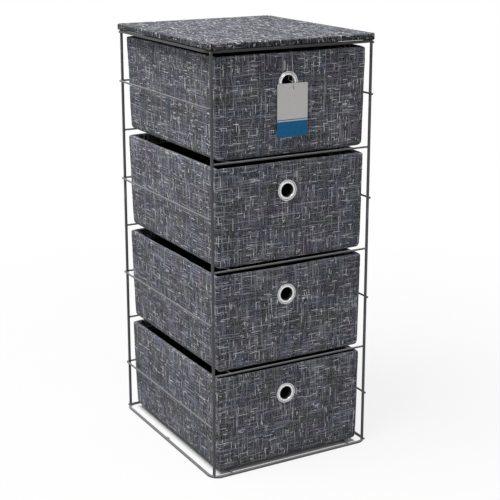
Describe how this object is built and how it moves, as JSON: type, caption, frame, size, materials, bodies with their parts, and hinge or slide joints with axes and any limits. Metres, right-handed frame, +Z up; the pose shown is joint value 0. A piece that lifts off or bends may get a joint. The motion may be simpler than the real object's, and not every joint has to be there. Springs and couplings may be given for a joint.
{
  "type": "fabric drawer dresser",
  "caption": "Tall narrow storage tower: a welded wire frame with a padded tweed lid and soft tweed drawers that slide on wire runners.",
  "frame": {"origin": "on the floor, under the middle of the frame's base ring", "axes": "+Z up, the drawers' fronts face -Y, +X is the right side seen from the front"},
  "size_m": [0.2818, 0.3208, 0.6533],
  "materials": {
    "wire": "satin grey powder coat",
    "tweed": "charcoal tweed with pale slubs",
    "lid_tweed": "lighter speckled charcoal tweed",
    "black_cloth": "black non-woven lining",
    "card_board": "plain grey-brown fibre board",
    "eyelet_metal": "bright nickel",
    "tag_card": "plain grey coated card",
    "tag_loop": "clear nylon"
  },
  "bodies": {
    "frame": {"base_ring": "wire", "top_ring": "wire", "post_front_left": "wire", "post_front_right": "wire", "post_rear_left": "wire", "post_rear_right": "wire", "shelf_wires_1": "wire", "shelf_wires_2": "wire", "shelf_wires_3": "wire", "runners_1": "wire", "runners_2": "wire", "runners_3": "wire", "runners_4": "wire", "guard_rail_1": "wire", "guard_rail_2": "wire", "guard_rail_3": "wire", "guard_rail_4": "wire"},
    "drawer_1": {"drawer_1_cover": "tweed", "drawer_1_lining": "black_cloth", "drawer_1_front_board": "card_board", "drawer_1_rear_board": "card_board", "drawer_1_left_board": "card_board", "drawer_1_right_board": "card_board", "drawer_1_base_board": "card_board", "drawer_1_eyelet": "eyelet_metal", "drawer_1_eyelet_washer": "eyelet_metal", "tag_loop": "tag_loop"},
    "drawer_2": {"drawer_2_cover": "tweed", "drawer_2_lining": "black_cloth", "drawer_2_front_board": "card_board", "drawer_2_rear_board": "card_board", "drawer_2_left_board": "card_board", "drawer_2_right_board": "card_board", "drawer_2_base_board": "card_board", "drawer_2_eyelet": "eyelet_metal", "drawer_2_eyelet_washer": "eyelet_metal"},
    "drawer_3": {"drawer_3_cover": "tweed", "drawer_3_lining": "black_cloth", "drawer_3_front_board": "card_board", "drawer_3_rear_board": "card_board", "drawer_3_left_board": "card_board", "drawer_3_right_board": "card_board", "drawer_3_base_board": "card_board", "drawer_3_eyelet": "eyelet_metal", "drawer_3_eyelet_washer": "eyelet_metal"},
    "drawer_4": {"drawer_4_cover": "tweed", "drawer_4_lining": "black_cloth", "drawer_4_front_board": "card_board", "drawer_4_rear_board": "card_board", "drawer_4_left_board": "card_board", "drawer_4_right_board": "card_board", "drawer_4_base_board": "card_board", "drawer_4_eyelet": "eyelet_metal", "drawer_4_eyelet_washer": "eyelet_metal"},
    "lid": {"lid_cover": "lid_tweed", "lid_board": "card_board", "lid_backing": "black_cloth"},
    "tag": {"tag_card": "tag_card"}
  },
  "joints": [
    {"name": "drawer_1_slide", "type": "slide", "parent": "frame", "child": "drawer_1", "axis": [0, -1, 0], "range_m": [0, 0.3]},
    {"name": "drawer_2_slide", "type": "slide", "parent": "frame", "child": "drawer_2", "axis": [0, -1, 0], "range_m": [0, 0.3]},
    {"name": "drawer_3_slide", "type": "slide", "parent": "frame", "child": "drawer_3", "axis": [0, -1, 0], "range_m": [0, 0.3]},
    {"name": "drawer_4_slide", "type": "slide", "parent": "frame", "child": "drawer_4", "axis": [0, -1, 0], "range_m": [0, 0.3]},
    {"name": "lid_lift", "type": "slide", "parent": "frame", "child": "lid", "axis": [0, 0, 1], "range_m": [0, 0.1]},
    {"name": "tag_swing", "type": "hinge", "parent": "drawer_1", "child": "tag", "pos_m": [-0.002, -0.1539, 0.58255], "axis": [0, 1, 0], "range_deg": [-35, 35]}
  ]
}
